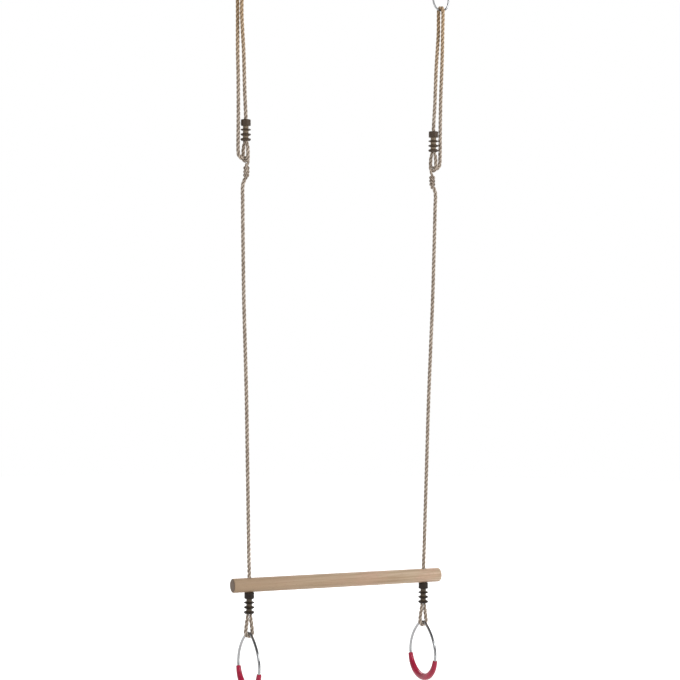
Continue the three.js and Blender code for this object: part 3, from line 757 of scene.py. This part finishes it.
def makeFerruleTree(sizes):
    tree, given, out = openShapeTree("ribbedFerrule", sizes)

    def half(label):
        return times(tree, given[label], 0.5)

    def within(value):    # held between 0 and 1
        return calc(tree, "MINIMUM", calc(tree, "MAXIMUM", value, 0.0), 1.0)

    def cylinder(sides, rings):    # of radius and height 1, to be shaped
        return addNode(tree, "GeometryNodeMeshCylinder",
                       {"Vertices": sides, "Side Segments": rings, "Radius": 1.0, "Depth": 1.0}).outputs[0]

    def shaped(geometry, x, y, z):
        place = addNode(tree, "ShaderNodeCombineXYZ", {0: x, 1: y, 2: z}).outputs[0]
        return addNode(tree, "GeometryNodeSetPosition", {"Geometry": geometry, "Position": place}).outputs[0]

    x, y, z = split(tree, tree.nodes.new("GeometryNodeInputPosition").outputs[0])
    down = times(tree, minus(tree, z, 0.5), given["Length"])
    # collar with rounded edges
    underCollar = plus(tree, down, given["Collar Height"])
    inside = calc(tree, "MINIMUM", times(tree, down, -1.0), underCollar)
    bite = within(flip(tree, calc(tree, "DIVIDE", inside, given["Edge Radius"])))
    arc = calc(tree, "SQRT", flip(tree, times(tree, bite, bite)))
    collar = minus(tree, half("Collar Diameter"), times(tree, given["Edge Radius"], flip(tree, arc)))
    # ribs at an even pitch, the slim one next to the collar
    above = minus(tree, plus(tree, down, given["Length"]), given["Last Rib Height"])
    lastNumber = minus(tree, given["Rib Count"], 1.0)
    number = calc(tree, "ROUND", calc(tree, "DIVIDE", above, given["Rib Pitch"]))
    number = calc(tree, "MINIMUM", calc(tree, "MAXIMUM", number, 0.0), lastNumber)
    middle = times(tree, number, given["Rib Pitch"])
    away = calc(tree, "ABSOLUTE", minus(tree, above, middle))
    isSlim = calc(tree, "COMPARE", number, lastNumber, 0.1)
    foot = mixNumber(tree, isSlim, half("Root Thickness"), half("Slim Root"))
    rim = mixNumber(tree, isSlim, given["Rim Thickness"], given["Slim Rim"])
    underside = calc(tree, "LESS_THAN", above, 0.0)
    foot = mixNumber(tree, underside, foot, given["Last Rib Height"])
    low = mixNumber(tree, underside, half("Root Diameter"), half("Mouth Diameter"))
    flat = times(tree, rim, given["Flat Share"])
    fall = calc(tree, "DIVIDE", minus(tree, away, flat), minus(tree, foot, flat))
    fall = calc(tree, "POWER", within(fall), given["Flank Power"])
    rib = minus(tree, half("Rib Diameter"), times(tree, fall, minus(tree, half("Rib Diameter"), low)))
    inCollar = calc(tree, "GREATER_THAN", underCollar, -0.00001)
    ridge = flip(tree, easeBetween(tree, calc(tree, "ABSOLUTE", y), 0.0, given["Ridge Width"]))
    radius = plus(tree, mixNumber(tree, inCollar, rib, collar), times(tree, ridge, given["Parting Ridge"]))
    body = shaped(cylinder(given["Sides"], given["Rings"]),
                  times(tree, x, radius), times(tree, y, radius), down)
    # cutters for the rope's socket and for the eye's legs
    socketDepth = plus(tree, given["Socket Depth"], given["Overrun"])
    socket = addNode(tree, "GeometryNodeMeshCylinder",
                     {"Vertices": given["Socket Sides"], "Radius": half("Socket Diameter"),
                      "Depth": socketDepth}).outputs[0]
    lift = minus(tree, given["Overrun"], times(tree, socketDepth, 0.5))
    lift = addNode(tree, "ShaderNodeCombineXYZ", {2: lift}).outputs[0]
    socket = addNode(tree, "GeometryNodeTransform", {"Geometry": socket, "Translation": lift}).outputs[0]
    slotDepth = plus(tree, given["Slot Radius"], given["Overrun"])
    height = minus(tree, times(tree, plus(tree, z, 0.5), slotDepth), given["Overrun"])
    flare = flip(tree, easeBetween(tree, height, 0.0, given["Flare Depth"]))
    slotRadius = plus(tree, given["Slot Radius"], times(tree, flare, given["Flare Width"]))
    stretch = times(tree, calc(tree, "SIGN", x), half("Leg Spacing"))
    slot = shaped(cylinder(given["Slot Sides"], given["Slot Rings"]),
                  plus(tree, times(tree, x, slotRadius), stretch),
                  times(tree, y, slotRadius), minus(tree, height, given["Length"]))
    for cutter in (socket, slot):
        cut = addNode(tree, "GeometryNodeMeshBoolean", operation="DIFFERENCE", solver="EXACT")
        tree.links.new(body, cut.inputs["Mesh 1"])
        tree.links.new(cutter, cut.inputs["Mesh 2"])
        body = cut.outputs[0]
    mound = calc(tree, "DIVIDE", outFrom(tree, x, y), half("Rib Diameter"))
    body = addNode(tree, "GeometryNodeStoreNamedAttribute",
                   {"Geometry": body, "Name": "moundShare", "Value": mound}, domain="POINT").outputs[0]
    closeShapeTree(tree, out, body, given["Material"], given["Sharp Angle"])
    return tree


ferruleTree = makeFerruleTree(ferruleSizes)
for level, (x, top, turn, legSpacing) in ferrulePlaces.items():
    ferrule = runTree("ferruleMould", ferruleTree,
                      {**ferruleSizes, "Leg Spacing": legSpacing, "Material": ferrulePlastic})
    for side in ("right", "left"):
        mesh = ferrule.data.copy()
        mesh.transform(Matrix.Translation((x, 0, top)) @ Matrix.Rotation(math.radians(turn), 4, "Z"))
        if side == "left":
            mesh.transform(Matrix.Rotation(math.pi, 4, "Z"))
        piece = addPiece(side + level.capitalize() + "Ferrule", mesh)
        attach(piece, "trapeze")
        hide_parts(f"{side}_{level}_ferrule")
    bpy.data.objects.remove(ferrule)
print("ferrules moulded")


# Steel rings: the round hanging ring with its weld, and the egg-shaped hand ring with its grip
hangingRingSizes = {"x": 0.285, "z": -0.025, "radius": 0.0275, "wire": 0.005, "turn": 15.5,
                    "weldAt": 205.0, "weldSwell": 0.00028, "weldSpread": 4.0, "steps": 180, "sides": 28}
handRingSizes = {"x": 0.2465, "z": -1.6603, "height": 0.145, "halfWidth": 0.070, "wire": 0.007,
                 "steps": 260, "sides": 28, "fineStep": 0.0005,
                 "seamFrom": 60, "seamReach": 400}    # fine points among which its two ends are looked for
handRingShares = (
    (0, 0), (0.13, 0.01), (0.29, 0.05), (0.55, 0.145), (0.76, 0.255), (0.9, 0.365), (0.98, 0.475),
    (1, 0.575), (0.965, 0.68), (0.87, 0.785), (0.72, 0.87), (0.52, 0.94), (0.27, 0.985), (0, 1),
)
gripSizes = {"start": 0.092, "endDiameter": 0.012, "bellyDiameter": 0.0188, "endRound": 0.002,
             "endFall": 0.6, "endShares": (0.0, 0.12, 0.3, 0.55, 0.8), "steps": 90, "sides": 48}


def makeHangingRing(side, sizes):
    turn = math.radians(sizes["turn"])
    points, radii = [], []
    for step in range(sizes["steps"]):
        degrees = 360 * step / sizes["steps"]
        angle = math.radians(degrees)
        flat = sizes["radius"] * math.sin(angle)
        points.append((sizes["x"] + flat * math.cos(turn), flat * math.sin(turn),
                       sizes["z"] + sizes["radius"] * math.cos(angle)))
        swell = math.exp(-((degrees - sizes["weldAt"]) / sizes["weldSpread"]) ** 2)
        radii.append(sizes["wire"] / 2 + sizes["weldSwell"] * swell)
    ring = sweep(side + "HangingRing", bothSides(points, side), radii, sizes["sides"], steel, closed=True)
    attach(ring, "hanging_rings")
    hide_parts(side + "_hanging_ring")


def handRingLine(sizes):    # even points round the hand ring, with one longer gap at its top
    far = [(0, wide * sizes["halfWidth"], -down * sizes["height"]) for wide, down in handRingShares]
    near = [(0, -y, z) for x, y, z in reversed(far[1:-1])]
    loop = far + near
    wrapped = loop[-2:] + loop + loop[:3]    # overlapping at the top, so that the curve is smooth there
    centres = smoothRoute(wrapped, [0] * len(wrapped), sizes["fineStep"])[0]
    fromTop = np.abs(centres[:, 1]) + np.abs(centres[:, 2])
    first, reach = sizes["seamFrom"], sizes["seamReach"]
    start = first + fromTop[first:reach].argmin()
    finish = len(centres) - reach + fromTop[-reach:].argmin()
    once = centres[start:finish + 1]
    picks = np.linspace(0, len(once) - 1, sizes["steps"] + 1)[:-1]
    line = np.column_stack([np.interp(picks, np.arange(len(once)), once[:, k]) for k in range(3)])
    return line + np.array((sizes["x"], 0, sizes["z"]))


def makeHandRing(side, sizes, grip):
    line = handRingLine(sizes)
    ring = sweep(side + "HandRing", bothSides(line, side), [sizes["wire"] / 2] * len(line), sizes["sides"],
                 steel, closed=True)
    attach(ring, side + "_hand")
    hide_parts(side + "_hand_ring")
    covered = np.array([p for p in line if p[2] < sizes["z"] - grip["start"]])
    walked = np.concatenate(([0], np.cumsum(np.linalg.norm(np.diff(covered, axis=0), axis=1))))
    whole, endRound = walked[-1], grip["endRound"]
    at = [endRound * s for s in grip["endShares"]]
    at += list(np.linspace(endRound, whole - endRound, grip["steps"]))
    at += [whole - endRound * s for s in reversed(grip["endShares"])]
    centres = np.column_stack([np.interp(at, walked, covered[:, k]) for k in range(3)])
    swell = grip["bellyDiameter"] - grip["endDiameter"]
    radii = []
    for length in at:
        full = (grip["endDiameter"] + swell * math.sin(math.pi * length / whole)) / 2
        short = max(0.0, 1 - min(length, whole - length) / endRound)
        radii.append(full - endRound * grip["endFall"] * (1 - math.sqrt(1 - short * short)))
    sleeve = sweep(side + "HandGrip", bothSides(centres, side), radii, grip["sides"], gripPlastic)
    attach(sleeve, side + "_hand")
    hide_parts(side + "_hand_grip")


for side in ("right", "left"):
    makeHangingRing(side, hangingRingSizes)
    makeHandRing(side, handRingSizes, gripSizes)
print("rings and grips made")


# Studio: pale floor, white surroundings behind the part, greyer ones behind the camera for the steel to show
studioSizes = {
    "floorHeight": -1.96, "floorRadius": 9.0,
    "ambient": 0.54, "glow": 0.55, "bandHeight": 0.1, "bandWidth": 0.14,
    "keyPlace": (2.4, -3.8, 1.7), "keySize": 2.4, "keyPower": 132.0,
    "fillPlace": (-3.4, -1.8, -0.2), "fillSize": 2.2, "fillPower": 12.0,
    "backPlace": (1.6, 3.8, 1.0), "backSize": 2.4, "backPower": 45.0,
    "aim": (0.0, 0.0, -1.0),
    "mirrored": (0.18, 0.18, 0.19, 1), "behindEdges": (-0.15, 0.75), "overheadEdges": (0.2, 0.6),
    "paper": (0.93, 0.93, 0.93, 1), "paperRoughness": 0.9, "floorSides": 96,
}
white = (1, 1, 1, 1)


def makeStudio(sizes):
    world = bpy.data.worlds.new("studio")
    bpy.context.scene.world = world
    world.use_nodes = True
    tree = world.node_tree
    tree.nodes.clear()
    rays = tree.nodes.new("ShaderNodeLightPath").outputs
    direct = calc(tree, "MAXIMUM", rays["Is Camera Ray"], rays["Is Transmission Ray"])
    ahead = split(tree, tree.nodes.new("ShaderNodeTexCoord").outputs["Generated"])
    behindCamera = easeBetween(tree, times(tree, ahead[1], -1.0), *sizes["behindEdges"])
    fromBand = calc(tree, "ABSOLUTE", minus(tree, ahead[2], sizes["bandHeight"]))
    outOfBand = easeBetween(tree, fromBand, sizes["bandWidth"] * 0.5, sizes["bandWidth"])
    overhead = easeBetween(tree, ahead[2], *sizes["overheadEdges"])
    dark = calc(tree, "MAXIMUM", times(tree, behindCamera, outOfBand), overhead)
    shade = mixTone(tree, dark, white, sizes["mirrored"])
    lit, mirrored, plain = (
        addNode(tree, "ShaderNodeBackground", {"Color": colour, "Strength": strength}).outputs[0]
        for colour, strength in ((white, sizes["ambient"]), (shade, 1.0), (white, 1.0)))
    mix = addNode(tree, "ShaderNodeMixShader", {0: rays["Is Glossy Ray"], 1: lit, 2: mirrored}).outputs[0]
    mix = addNode(tree, "ShaderNodeMixShader", {0: direct, 1: mix, 2: plain}).outputs[0]
    addNode(tree, "ShaderNodeOutputWorld", {"Surface": mix})

    bpy.ops.mesh.primitive_circle_add(vertices=sizes["floorSides"], radius=sizes["floorRadius"],
                                      fill_type="NGON", location=(0, 0, sizes["floorHeight"]))
    floor = bpy.context.object
    floor.name = "paleFloor"
    material, tree, shader, place = newMaterial("palePaper")
    rays = tree.nodes.new("ShaderNodeLightPath").outputs
    seen = calc(tree, "MAXIMUM", rays["Is Camera Ray"],
                calc(tree, "MAXIMUM", rays["Is Glossy Ray"], rays["Is Transmission Ray"]))
    for label, value in (("Base Color", sizes["paper"]), ("Roughness", sizes["paperRoughness"]),
                         ("Specular IOR Level", 0.0), ("Emission Color", white)):
        shader.inputs[label].default_value = value
    tree.links.new(times(tree, seen, sizes["glow"]), shader.inputs["Emission Strength"])
    below = tree.nodes.new("ShaderNodeNewGeometry").outputs["Backfacing"]    # the floor is clear from below
    clear = addNode(tree, "ShaderNodeBsdfTransparent").outputs[0]
    floorMix = addNode(tree, "ShaderNodeMixShader",
                       {0: times(tree, below, rays["Is Camera Ray"]),
                        1: shader.outputs[0], 2: clear}).outputs[0]
    tree.links.new(floorMix, tree.nodes["Material Output"].inputs["Surface"])
    floor.data.materials.append(material)

    for name in ("key", "fill", "back"):
        data = bpy.data.lights.new(name + "Lamp", "AREA")
        data.shape, data.size, data.energy = "DISK", sizes[name + "Size"], sizes[name + "Power"]
        lamp = bpy.data.objects.new(name + "Lamp", data)
        place = Vector(sizes[name + "Place"])
        lamp.matrix_world = Matrix.Translation(place) @ (
            (Vector(sizes["aim"]) - place).to_track_quat("-Z", "Y").to_matrix().to_4x4())
        bpy.context.scene.collection.objects.link(lamp)
    bpy.context.scene.view_settings.view_transform = "Standard"


makeStudio(studioSizes)
print("studio set")
